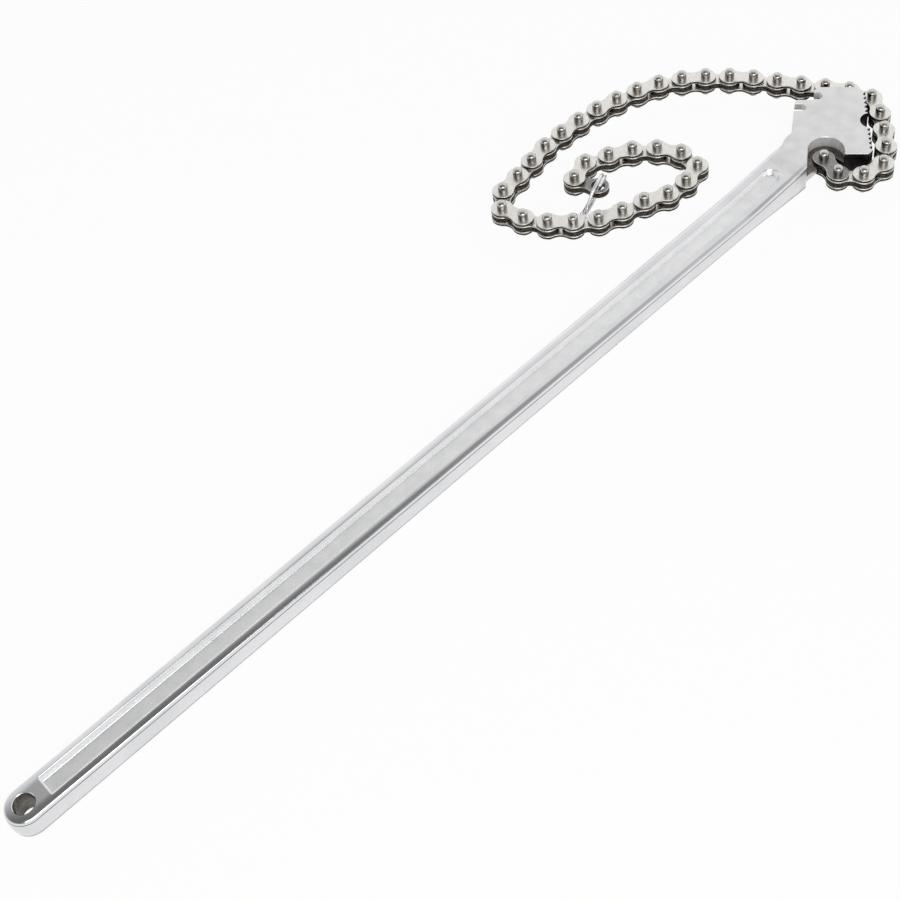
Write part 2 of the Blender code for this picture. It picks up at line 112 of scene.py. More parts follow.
# Handle
HOLE_X = -720.0 * MM
GRIP_HALF = 12.5 * MM
NECK_HALF = 15.75 * MM
WIDEST_X = -62.0 * MM
GRIP_HALF_THICK = 9.5 * MM
NECK_HALF_THICK = 8.25 * MM
SHOULDER_X = -2.0 * PITCH
NECK_X = SHOULDER_X - 62.0 * MM
NECK_BEND = 6 * MM
SHOULDER_BEND = 0.5 * MM
BAR_END_X = -1.2 * PITCH
HANG_HOLE_RADIUS = 6.5 * MM
HANG_HOLE_CHAMFER = 0.4 * MM
HANG_HOLE_SIDES = 64

# Handle: rolled edges of the land, whose width shrinks with this power of the way to the neck
NOSE_ROLL = 5.0 * MM
NECK_ROLL = 1.7 * MM
ROLL_POWER = 0.6
NOSE_ROLL_SLOPE = 0.17
NECK_ROLL_SLOPE = 0.6
ROLL_BEND = 0.05
EDGE_ROUND = 1.6 * MM

# Handle: sides, with heights and the trim line's place and half width as shares of the half thickness
SIDE_DRAFT = 0.7 * MM
SIDE_TOP = 0.97
SIDE_LEVELS = (0.7, 0.5, 0.25, 0.0)
TRIM_LINE = 0.13
TRIM_HALF = 0.04
TRIM_DEPTH = 0.2 * MM

# Handle: recess, with its material starting a little way down its wall
RECESS_HALF = 7.4 * MM
RECESS_DEPTH = 3.5 * MM
RECESS_DRAFT = 2.4 * MM
RECESS_START = HOLE_X + 14.0 * MM
RECESS_END = SHOULDER_X - 15.0 * MM
RECESS_CORNER = 2.0 * MM
END_STEEPNESS = 3.0
TOP_BEND = 0.12 * MM
FLOOR_BEND = 0.2 * MM
RECESS_SKIN = 1.0 * MM
NECK_FACE_X = RECESS_END + 4 * MM

# Handle: steps round the nose and each rolled edge, across web and land, and lines along the wall
NOSE_SIDES = 48
EDGE_SIDES = 7
WEB_STEPS = 12
LAND_STEPS = 14
WALL_INSETS_MM = (4.0, 3.4, *np.linspace(2.9, -0.5, 26))

# Handle: places along it, each with the number of steps to the next one or to the bar's end
BAR_SPANS = (
    (HOLE_X, 8),
    (RECESS_START - 2 * MM, 30),
    (RECESS_START + 7 * MM, 40),
    (NECK_X - 20 * MM, 24),
    (RECESS_END - 14 * MM, 84),
    (RECESS_END + 2 * MM, 12),
    (SHOULDER_X + 2 * MM, 3),
)

# Head: places and radii in chain pitches from the origin
NECK_REAR = (-1.07, 0.91)
REAR_EDGE = (-0.75, 0.89)
LOW_HOOK_ROOT = (0.81, 1.95)
LOW_HOOK_TIP = (1.01, 1.95)
HIGH_HOOK_ROOT = (1.40, 1.43)
HIGH_HOOK_TIP = (1.89, 1.81)
FRONT_REAR = (2.19, 1.74)
FRONT_JAW = (3.10, 0.65)
JAW_TOP = (3.14, 0.15)
JAW_FOOT = (0.51, -2.17)
TOE = (0.23, -2.18)
LIP = (-0.37, -1.47)
ANCHOR_PIN = (-0.76, -0.76)
LUG_RADIUS = 0.47
POCKET_CENTRE = (-0.63, -0.76)
POCKET_RADIUS = 0.735
HIGH_SEAT = (1.705, 1.495)
SLOT_FLOOR = 1.0
SLOT_FLOOR_TURN = (2.62, 0.81)
SLOT_FLOOR_FRONT = (2.86, -0.105)

# Head: headings in degrees
SEAT_ROW_HEADING = 176.0
SEAT_HEADING = -50.0
POCKET_RUN_HEADING = 217.0
LUG_SPAN = (190, 330)

# Head: the corners from the jaw back to the neck, each with the radius that rounds it
FRONT_CORNERS = (
    (FRONT_JAW, 2.0 * MM),
    (FRONT_REAR, 2.5 * MM),
    (HIGH_HOOK_TIP, 1.6 * MM),
    (HIGH_HOOK_ROOT, 1.2 * MM),
    (LOW_HOOK_TIP, 1.0 * MM),
    (LOW_HOOK_ROOT, 1.0 * MM),
    (REAR_EDGE, 3.0 * MM),
    (NECK_REAR, 12.0 * MM),
)

# Head: lengths, with the teeth's lean as a share of a tooth's step
TOE_ROUND = 1.2 * MM
HEAD_START_X = SHOULDER_X + 4 * MM
BURIED = 3.0 * MM
HEAD_CHAMFER = 0.1 * MM
POCKET_CHAMFER = 0.2 * MM
POCKET_RUN = 2.0 * PITCH
SEAT_RADIUS = PIN_RADIUS + 0.4 * MM
SLOT_HALF = 6.15 * MM
CLEAR_OF_HEAD = 4.0 * PITCH
CUT_PAST = 4 * MM
TEETH_PER_ROW = 5
TOOTH_DEPTH = 2.6 * MM
TOOTH_LEAN = 0.62
RELIEF_RADIUS = 8.7 * MM
RELIEF_OUTSET = 1.8 * MM

# Head: steps round each curve
CORNER_SIDES = 5
LUG_SIDES = 24
POCKET_SIDES = 48
SEAT_SIDES = 20
RELIEF_SIDES = 32

# Places in a link's list of materials, and in the handle's
ON_PLATE, ON_SHADED_EDGE, ON_HEAD, ON_RIM, ON_SHADED_SHANK = range(5)
ON_FORGING, ON_RECESS, ON_FACE, ON_SHADE_WALL, ON_POCKET, ON_HOLLOW_SHADE = range(6)

# Materials: octaves of the two noises, and the part of each noise's range that is used
PATCH_DETAIL = 3.0
GRAIN_DETAIL = 2.0
PATCH_RANGE = (0.32, 0.68)
GRAIN_RANGE = (0.3, 0.7)

# Studio: the dark opening's direction, and brightness by the cosine of the angle from it
OPENING = (-0.35, -0.15, 0.925)
OPENING_RAMP = (
    (0.0, 1.0), (0.34, 0.88), (0.53, 0.80), (0.62, 0.56), (0.70, 0.36), (0.80, 0.17), (1.0, 0.13),
)
WHITE = (1, 1, 1, 1)
FLOOR_HALF = 8.0
FLOOR_DROP = 0.5 * MM
FLOOR_WHITE = {"Is Camera Ray": 0.94, "Is Glossy Ray": 0.7, "Is Transmission Ray": 0.94}
KEY_PLACE = (-0.9, -0.9, 1.3)
KEY_AIM = (-0.3, 0.0, 0.0)
KEY_SIZE = 1.3
KEY_WATTS = 14.0

# Camera: unit axes and place in the model's frame, lens and sensor in mm
CAMERA_RIGHT = (0.6944, -0.7163, -0.0684)
CAMERA_UP = (0.5689, 0.4883, 0.6617)
CAMERA_FORWARD = (0.4406, 0.4984, -0.7466)
CAMERA_PLACE = (-0.7449, -0.5155, 0.838)
CAMERA_LENS = 62.76
CAMERA_SENSOR = 36.0
CAMERA_SHIFT = (-0.1144, -0.1522)
CAMERA_NEAR = 0.01


# Materials

def linear(code):
    """A colour written as sRGB hex, as linear values by the standard sRGB curve."""
    parts = [int(code[i:i + 2], 16) / 255 for i in (1, 3, 5)]
    return tuple(c / 12.92 if c <= 0.04045 else ((c + 0.055) / 1.055) ** 2.4 for c in parts) + (1.0,)


def empty_tree(holder):
    """The node tree of a material or world, switched on and with nothing in it."""
    holder.use_nodes = True
    holder.node_tree.nodes.clear()
    return holder.node_tree


def add(tree, kind, inputs=None, **settings):
    """One node, with its settings, and each input given as a value or as the output that feeds it."""
    item = tree.nodes.new(kind)
    for name, value in settings.items():
        setattr(item, name, value)
    for name, value in (inputs or {}).items():
        if isinstance(value, bpy.types.NodeSocket):
            tree.links.new(value, item.inputs[name])
        else:
            item.inputs[name].default_value = value
    return item


def metal(name, light, dark, patch_mm, rough, grain_mm, grain_height_mm, stretch=(1, 1, 1), metallic=1.0):
    """A metal whose colour drifts between two values in patches, with a fine grain that breaks its gloss.

    A stretch below one lengthens the grain along that axis.
    """
    made = bpy.data.materials.new(name)
    tree = empty_tree(made)
    place = add(tree, "ShaderNodeTexCoord").outputs["Object"]
    scaled = add(tree, "ShaderNodeMapping", {"Vector": place, "Scale": stretch}).outputs[0]
    patches = add(tree, "ShaderNodeTexNoise", {
        "Vector": place, "Scale": 1000 / patch_mm, "Detail": PATCH_DETAIL}).outputs[0]
    grain = add(tree, "ShaderNodeTexNoise", {
        "Vector": scaled, "Scale": 1000 / grain_mm, "Detail": GRAIN_DETAIL}).outputs[0]
    drift = add(tree, "ShaderNodeMapRange", {
        "Value": patches, "From Min": PATCH_RANGE[0], "From Max": PATCH_RANGE[1]}).outputs[0]
    tint = add(tree, "ShaderNodeMix", {0: drift, 6: linear(dark), 7: linear(light)}, data_type="RGBA")
    gloss = add(tree, "ShaderNodeMapRange", {
        "Value": grain, "From Min": GRAIN_RANGE[0], "From Max": GRAIN_RANGE[1],
        "To Min": rough[0], "To Max": rough[1]}).outputs[0]
    bump = add(tree, "ShaderNodeBump", {
        "Height": grain, "Strength": 1.0, "Distance": grain_height_mm * MM}).outputs[0]
    shader = add(tree, "ShaderNodeBsdfPrincipled", {
        "Base Color": tint.outputs[2], "Metallic": metallic, "Roughness": gloss, "Normal": bump})
    add(tree, "ShaderNodeOutputMaterial", {"Surface": shader.outputs[0]})
    return made


# Each grain is drawn coarser than the real one, which is too fine to show at this size.

# Bright plate over a polished forging: a soft mirror, with faint waves left by the polishing belt.
FORGING = metal("Nickel chrome plate over polished forging", "#EDEDEF", "#E2E3E5",
                patch_mm=30, rough=(0.13, 0.20), grain_mm=1.4, grain_height_mm=0.004)
# The same plate over forged skin: pale and faintly pebbled, so it takes light but mirrors nothing sharply.
RECESS = metal("Nickel chrome plate over as-forged recess", "#FDFDFD", "#F2F3F4",
               patch_mm=9, rough=(0.28, 0.40), grain_mm=0.8, grain_height_mm=0.006, metallic=0.8)
# A face ground flat and thinly plated: an even satin grey.
FACE = metal("Satin ground head face", "#EEEEEE", "#E0E0E0",
             patch_mm=12, rough=(0.26, 0.36), grain_mm=0.5, grain_height_mm=0.004)
# Nearly black, with a dull sheen: painted shade on the head's side walls, the chain slot and the anchor
# pin's bore, which lie in shadow.
SHADE_WALL = metal("Head wall in black painted shade", "#3A3836", "#1C1B1A",
             patch_mm=6, rough=(0.32, 0.50), grain_mm=0.7, grain_height_mm=0.02)
# A turned wall under a thin, cloudy plate: pale, and only partly metallic to the eye.
POCKET = metal("Turned and plated pocket wall", "#F4F3F2", "#D2D1D0",
               patch_mm=6, rough=(0.22, 0.34), grain_mm=0.4, grain_height_mm=0.004, metallic=0.2)
# A warm dark grey, painted shade: inside the hang hole, on the web at the pocket's floor and in the trim
# line's groove.
HOLLOW_SHADE = metal("Dark grey painted shade in hollows", "#7D7871", "#524D48",
             patch_mm=5, rough=(0.25, 0.4), grain_mm=0.5, grain_height_mm=0.01)
# Stamped plate, tumbled and then nickel plated: a warm white satin.
PLATE = metal("Nickel plated link plate", "#F9F7F3", "#EDEAE4",
              patch_mm=3, rough=(0.26, 0.38), grain_mm=0.35, grain_height_mm=0.006)
# The corner that tumbling has worn round: a thin bright line about each link.
RIM = metal("Tumbled bright plate rim", "#F6F5F2", "#DAD8D3",
            patch_mm=2, rough=(0.24, 0.34), grain_mm=0.5, grain_height_mm=0.004)
# A sheared edge in brown near black, painted shade on the links' sides and in their holes, with a grain
# that runs up and down from the shear.
SHADED_EDGE = metal("Sheared link edge in dark painted shade", "#544D45", "#1A1714",
             patch_mm=1.6, rough=(0.35, 0.55), grain_mm=0.5, grain_height_mm=0.03, stretch=(1, 1, 0.25))
# The head that peening leaves on a pin: pale, and softened all over by the blows.
PIN = metal("Peened rivet head, nickel plated", "#E4E1DC", "#C2BFBA",
            patch_mm=1.4, rough=(0.18, 0.27), grain_mm=0.5, grain_height_mm=0.004)
# The pin's side, darker than its head as painted shade, and smooth enough to hold one bright upright
# streak.
SHADED_SHANK = metal("Hardened rivet shank in painted shade", "#A8A49F", "#55514D",
              patch_mm=2, rough=(0.14, 0.22), grain_mm=0.5, grain_height_mm=0.003)
# A plain mid grey for the plates of the first link and the tongue: painted shade on the first link, which
# lies down in the head's pocket, and the same darker grey on the tongue.
SHADED_PLATE = metal("Link plate in mid grey painted shade", "#A5A4A3", "#8C8B8A",
                   patch_mm=3, rough=(0.28, 0.40), grain_mm=0.4, grain_height_mm=0.006)
# Drawn spring wire with bright nickel: almost white, with narrow streaks along its coils.
WIRE = metal("Bright nickel plated spring wire", "#F8F8F8", "#EAEAEB",
             patch_mm=6, rough=(0.26, 0.34), grain_mm=0.6, grain_height_mm=0.002)


# Shapes in general

def direction(degrees):
    """The flat unit vector with a heading."""
    return np.array([math.cos(math.radians(degrees)), math.sin(math.radians(degrees))])


def pitches(place):
    """A place given in chain pitches, in metres."""
    return np.array(place, float) * PITCH


def arc(centre, radius, start, end, sides):
    """Points at even angles on a circle's part, both ends included."""
    angles = np.radians(np.linspace(start, end, sides + 1))
    return np.asarray(centre, float) + radius * np.stack([np.cos(angles), np.sin(angles)], 1)


def quads(rows, columns, wrap):
    """Corner numbers of the quads of a grid, whose columns close on themselves if wrap is true."""
    across = np.arange(columns if wrap else columns - 1)
    i, j = np.meshgrid(np.arange(rows - 1), across, indexing="ij")
    near, far = i * columns, (i + 1) * columns
    k = (j + 1) % columns
    return np.stack([near + j, near + k, far + k, far + j], -1).reshape(-1, 4)


def new_object(name, data):
    """An object that shows the data in the scene."""
    thing = bpy.data.objects.new(name, data)
    bpy.context.scene.collection.objects.link(thing)
    return thing


def solid(name, points, faces, kinds, looks):
    """A closed body from its points and faces: coinciding points merged, faces turned outwards."""
    mesh = bpy.data.meshes.new(name)
    mesh.from_pydata(np.asarray(points, float).tolist(), [], [list(map(int, f)) for f in faces])
    for look in looks:
        mesh.materials.append(look)
    mesh.polygons.foreach_set("material_index", np.asarray(kinds, np.int32))
    shape = bmesh.new()
    shape.from_mesh(mesh)
    bmesh.ops.remove_doubles(shape, verts=shape.verts, dist=MERGE)
    bmesh.ops.dissolve_degenerate(shape, dist=MERGE, edges=shape.edges)
    bmesh.ops.recalc_face_normals(shape, faces=shape.faces)
    shape.to_mesh(mesh)
    shape.free()
    return new_object(name, mesh)


def combine(target, tools, name):
    """The target's mesh after each (tool, operation) in turn, smooth but for its crisp edges."""
    for tool, operation in tools:
        step = target.modifiers.new(tool.name, "BOOLEAN")
        step.operation = operation
        step.object = tool
        step.solver = "EXACT"
    bpy.context.view_layer.update()
    mesh = bpy.data.meshes.new_from_object(target.evaluated_get(bpy.context.evaluated_depsgraph_get()))
    for thing in (target, *(tool for tool, _ in tools)):
        bpy.data.objects.remove(thing)
    mesh.name = name
    mesh.shade_smooth()
    mesh.set_sharp_from_angle(angle=math.radians(CRISP_ANGLE))
    return mesh


def outset(outline, distance):
    """A closed outline moved outwards along the mitre of each corner."""
    ahead = np.roll(outline, -1, 0) - outline
    ahead /= np.linalg.norm(ahead, axis=1)[:, None]
    out = np.stack([ahead[:, 1], -ahead[:, 0]], 1)
    before = np.roll(out, 1, 0)
    mitre = (out + before) / (1 + (out * before).sum(1))[:, None]
    return outline + distance * mitre


def prism(name, outline, rings, kinds, looks):
    """An outline carried up through (outset, height) rings and closed by a flat face at each end.

    kinds gives the material number of the low face, of each band between rings, and of the high face.
    """
    rows = [np.c_[outset(outline, out), np.full(len(outline), height)] for out, height in rings]
    count = len(outline)
    low = list(range(count))[::-1]
    high = list(range((len(rows) - 1) * count, len(rows) * count))
    faces = [low, *quads(len(rows), count, True).tolist(), high]
    which = [kinds[0], *np.repeat(kinds[1:-1], count), kinds[-1]]
    return solid(name, np.concatenate(rows), faces, which, looks)


def turned(name, profile, sides, kinds, looks, place):
    """A profile of (radius, height), from the axis back to the axis, carried round an upright axis."""
    profile = np.asarray(profile, float)
    angles = np.linspace(0, 2 * math.pi, sides, endpoint=False)
    rows = np.stack([profile[:, :1] * np.cos(angles), profile[:, :1] * np.sin(angles),
                     np.repeat(profile[:, 1:], sides, 1)], -1)
    points = rows.reshape(-1, 3) + np.asarray(place)
    return solid(name, points, quads(len(profile), sides, True), np.repeat(kinds, sides), looks)


def hole_tool(name, place, radius, looks, kind):
    """A cutter for a round upright hole, which reaches past both faces of what it cuts."""
    profile = [(0, MID_HEIGHT), (radius, MID_HEIGHT), (radius, -MID_HEIGHT), (0, -MID_HEIGHT)]
    return turned(name, profile, PIN_SIDES, [kind] * 3, looks, place)


def dress(name, mesh, node):
    """The mesh as the piece that stands for a CAD node and rides its body."""
    piece = new_object(name, mesh)
    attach(piece, body_of(frame["nodes"][node])[0])
    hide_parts(node)


# Chain links

def plate_line():
    """The plate's outline and its outward direction at each point.

    Rounds about both pins are joined by a hollow arc on each side that touches both.
    """
    hollow = (PITCH**2 / 4 + PLATE_WAIST**2 - PLATE_RADIUS**2) / (2 * (PLATE_RADIUS - PLATE_WAIST))
    touch = math.degrees(math.atan2(PLATE_WAIST + hollow, PITCH / 2))
    centres = ((0, 0), (PITCH / 2, -PLATE_WAIST - hollow), (PITCH, 0), (PITCH / 2, PLATE_WAIST + hollow))
    spans = ((touch, 360 - touch, PLATE_END_SIDES), (180 - touch, touch, PLATE_WAIST_SIDES),
             (touch - 180, 180 - touch, PLATE_END_SIDES), (-touch, touch - 180, PLATE_WAIST_SIDES))
    line, out = [], []
    for k, (centre, (start, end, sides)) in enumerate(zip(centres, spans)):
        radius, facing = (PLATE_RADIUS, 1) if k % 2 == 0 else (hollow, -1)
        points = arc(centre, radius, start, end, sides)[:-1]
        line.append(points)
        out.append((points - centre) / radius * facing)
    return np.concatenate(line), np.concatenate(out)


def plate(name, low, high, looks, groove=0.0):
    """A link plate: from its middle line out over the face, round the rim, down the edge and back below.

    A groove at mid height parts two leaves that lie together.
    """
    line, out = plate_line()
    middle = np.stack([np.clip(line[:, 0], 0, PITCH), np.zeros(len(line))], 1)
    turn = np.radians(np.linspace(0, 90, RIM_SIDES + 1))
    rim = np.stack([PLATE_RIM * (1 - np.sin(turn)), PLATE_RIM * (1 - np.cos(turn))], 1)
    upper = [(inset, high - drop) for inset, drop in rim]
    half = (low + high) / 2
    edge = [(0.0, half + groove), (groove, half), (0.0, half - groove)] if groove else []
    lower = [(inset, low + drop) for inset, drop in rim[::-1]]
    face = PLATE_RIM + RIM_MARGIN
    rings = [(face, high), *upper, *edge, *lower, (face, low)]
    rows = [np.c_[line - out * inset, np.full(len(line), height)] for inset, height in rings]
    rows = [np.c_[middle, np.full(len(line), high)], *rows, np.c_[middle, np.full(len(line), low)]]
    faces, rims = [ON_PLATE] * 2, [ON_RIM] * RIM_SIDES
    # The plate's edge bands take the near-black painted shade.
    kinds = [*faces, *rims, *([ON_SHADED_EDGE] * (len(edge) + 1)), *rims, *faces]
    points = np.concatenate(rows)
    return solid(name, points, quads(len(rows), len(line), True), np.repeat(kinds, len(line)), looks)


def pin_body(name, x, looks, head=ON_HEAD, shank=ON_SHADED_SHANK):
    """A rivet pin: a flat quarter-ellipse crown at each end of a straight shank."""
    turn = np.radians(np.linspace(90, 0, CROWN_SIDES + 1))
    crown = np.stack([PIN_RADIUS * np.cos(turn), MID_HEIGHT - PIN_CROWN * (1 - np.sin(turn))], 1)
    crown[0, 0] = 0.0
    profile = np.concatenate([crown, crown[::-1] * (1, -1)])
    # The shank's band takes the darker painted shade.
    bands = [head] * CROWN_SIDES
    return turned(name, profile, PIN_SIDES, [*bands, shank, *bands], looks, (x, 0, 0))


def outer_link(name, looks, anchor=False):
    """Two plates riveted on their pins. The first link's near pin is a piece of its own."""
    inside = INNER_PACK / 2 + SIDE_PLAY
    upper = plate("upper", inside, inside + OUTER_PLATE, looks)
    lower = plate("lower", -inside - OUTER_PLATE, -inside, looks)
    steps = [(lower, "UNION"), (pin_body("far", PITCH, looks), "UNION")]
    if anchor:
        # The hole's wall takes the near-black painted shade.
        steps.append((hole_tool("near", (0, 0, 0), BORE_RADIUS, looks, ON_SHADED_EDGE), "DIFFERENCE"))
    else:
        steps.append((pin_body("near", 0.0, looks), "UNION"))
    return combine(upper, steps, name)


def inner_link(name, looks, far_radius, groove):
    """Leaves that lie together between the outer plates, with a hole for a pin or the ring at each end."""
    leaf = plate("leaves", -INNER_PACK / 2, INNER_PACK / 2, looks, groove)
    # The holes' walls take the near-black painted shade.
    near = hole_tool("near", (0, 0, 0), BORE_RADIUS, looks, ON_SHADED_EDGE)
    far = hole_tool("far", (PITCH, 0, 0), far_radius, looks, ON_SHADED_EDGE)
    return combine(leaf, [(near, "DIFFERENCE"), (far, "DIFFERENCE")], name)


def make_chain():
    """Each link lies between its own hinge and the next, so the joints give its place and heading."""
    hinges = [np.array(joint["pos_m"][:2]) for joint in frame["joints"]]
    # Plated links, and the mid grey painted shade for the first link and the tongue.
    plated, dark = [[face, SHADED_EDGE, PIN, RIM, SHADED_SHANK] for face in (PLATE, SHADED_PLATE)]
    outer = outer_link("outer_link", plated)
    anchor = outer_link("anchor_link", dark, anchor=True)
    inner = inner_link("inner_link", plated, BORE_RADIUS, LEAF_GROOVE)
    tongue = inner_link("tongue", dark, TONGUE_HOLE / 2, 0.0)
    last = len(hinges) - 1
    for number in range(1, last + 1):
        near, far = hinges[number - 1], hinges[number]
        heading = math.atan2(*(far - near)[::-1])
        place = Matrix.Translation((*near, MID_HEIGHT)) @ Matrix.Rotation(heading, 4, "Z")
        if number == last:
            mesh, node, slot, name = tongue, "end_tongue", "tongue", "tongue"
        else:
            even = number % 2 == 0
            mesh = inner if even else anchor if number == 1 else outer
            node, slot = f"chain_link_{number:02d}", "inner_links" if even else "outer_links"
            name = f"link_{number:02d}"
        mesh = mesh.copy()
        mesh.transform(place)
        dress(name, mesh, node)
    pin = combine(pin_body("anchor", 0.0, [PIN, SHADED_SHANK], head=0, shank=1), [], "anchor_pin")
    pin.transform(Matrix.Translation((*hinges[0], MID_HEIGHT)))
    dress("anchor_pin_turned", pin, "anchor_pin")


# Split ring

def wire_rows():
    """Rings of points along the ring's wire, round an axis at the origin.

    The middle line is a circle taken less than one turn to each side of a jog, where it rises by
    half a sine wave from one coil to the other. Each end closes in a flat quarter ellipse.
    """
    turns = np.linspace(-1, 1, RING_STATIONS) * (1 - RING_JOG)
    angle = np.radians(180 + 360 * turns)
    rise = (WIRE_RADIUS + COIL_GAP / 2) * np.sin(np.clip(turns / RING_JOG, -1, 1) * math.pi / 2)
    line = np.stack([RING_RADIUS * np.cos(angle), RING_RADIUS * np.sin(angle), rise], 1)
    ahead = np.gradient(line, axis=0)
    ahead /= np.linalg.norm(ahead, axis=1)[:, None]
    side = np.cross(ahead, (0, 0, 1.0))
    side /= np.linalg.norm(side, axis=1)[:, None]
    up = np.cross(side, ahead)
    around = np.linspace(0, 2 * math.pi, WIRE_SIDES, endpoint=False)
    circle = np.cos(around)[None, :, None] * side[:, None] + np.sin(around)[None, :, None] * up[:, None]
    cap = np.radians(np.linspace(90, 0, WIRE_END_SIDES + 1))[:-1]
    bulge = WIRE_RADIUS * WIRE_END_BULGE
    start = [line[:1, None] - bulge * np.sin(t) * ahead[:1, None]
             + WIRE_RADIUS * np.cos(t) * circle[:1] for t in cap]
    end = [line[-1:, None] + bulge * np.sin(t) * ahead[-1:, None]
           + WIRE_RADIUS * np.cos(t) * circle[-1:] for t in cap[::-1]]
    return np.concatenate([*start, line[:, None] + WIRE_RADIUS * circle, *end])


def make_ring():
    """The split ring, threaded through the tongue's hole with its jog on the side away from the tongue.

    Its plane holds the heading and leans over, and its middle lies one radius from its hinge, lifted
    by the rise.
    """
    rows = wire_rows()
    along = np.array([*direction(RING_HEADING), 0.0])
    lean, lift = math.radians(RING_LEAN), math.radians(RING_RISE)
    upward = np.array([-along[1] * math.sin(lean), along[0] * math.sin(lean), math.cos(lean)])
    from_hole = along * math.cos(lift) + upward * math.sin(lift)
    normal = np.cross(along, upward)
    axes = np.stack([-from_hole, np.cross(normal, -from_hole), normal])
    centre = np.array(frame["joints"][-1]["pos_m"]) + from_hole * RING_RADIUS
    faces = quads(len(rows), WIRE_SIDES, True)
    ring = solid("ring", rows.reshape(-1, 3) @ axes + centre, faces, np.zeros(len(faces)), [WIRE])
    dress("split_ring_wire", combine(ring, [], "split_ring_wire"), "split_ring")


# Handle

def bend(x, softness):
    """Nought below zero and x above it, with a soft turn between."""
    return (x + np.sqrt(x * x + softness * softness)) / 2


def half_width(x):
    """An even widening from the hang hole to the widest place, and no more past it."""
    share = np.clip((x - HOLE_X) / (WIDEST_X - HOLE_X), 0, 1)
    return GRIP_HALF + (NECK_HALF - GRIP_HALF) * share


def half_thickness(x):
    """An even taper to the neck, then an even swell to the head's faces, with a soft turn between."""
    share = np.clip((x - HOLE_X) / (NECK_X - HOLE_X), 0, 1)
    slope = (MID_HEIGHT - NECK_HALF_THICK) / (SHOULDER_X - NECK_X)
    taper = GRIP_HALF_THICK + (NECK_HALF_THICK - GRIP_HALF_THICK) * share
    swell = slope * (bend(x - NECK_X, NECK_BEND) - bend(x - SHOULDER_X, SHOULDER_BEND))
    return np.minimum(taper + swell, MID_HEIGHT)


def recess_depth(x, y):
    """Depth below the land, from the distance inside the recess's rounded outline.

    The wall falls evenly over its draft, with a soft turn at its top and a wider one at its foot.
    At the nose it is steeper, because distance along the handle is weighted there.
    """
    middle = (RECESS_START + RECESS_END) / 2
    corner = np.where(x < middle, RECESS_CORNER, RECESS_HALF)
    steep = np.where(x < middle, END_STEEPNESS, 1.0)
    over_x = steep * (np.abs(x - middle) - (RECESS_END - RECESS_START) / 2) + corner
    over_y = np.abs(y) - RECESS_HALF + corner
    outside = np.hypot(np.maximum(over_x, 0), np.maximum(over_y, 0))
    inside = corner - outside - np.minimum(np.maximum(over_x, over_y), 0)
    slope = RECESS_DEPTH / RECESS_DRAFT
    return slope * (bend(inside, TOP_BEND) - bend(inside - RECESS_DRAFT, FLOOR_BEND))


def bar_stations():
    """Places along the handle: close together at the recess's two ends."""
    ends = [*(x for x, _ in BAR_SPANS[1:]), BAR_END_X]
    spans = [np.linspace(x, end, steps, endpoint=False) for (x, steps), end in zip(BAR_SPANS, ends)]
    return np.concatenate([*spans, [BAR_END_X]])


def bar_kinds(rows, insets, land_width, groove):
    """The material number of each quad: forging, recess, ground neck, and the trim line's groove in dark
    grey painted shade.
    """
    deep = insets > (land_width + RECESS_SKIN)[:, None]
    inside = (rows[..., 0] > RECESS_START) & (rows[..., 0] < RECESS_END) & deep
    neck = rows[..., 0] > NECK_FACE_X
    kinds = (ON_RECESS * inside + ON_FACE * neck)[:-1, :-1]
    # The groove's bands take the dark grey painted shade.
    kinds[:, [groove, groove + 1, -groove - 1, -groove - 2]] = ON_HOLLOW_SHADE
    return kinds


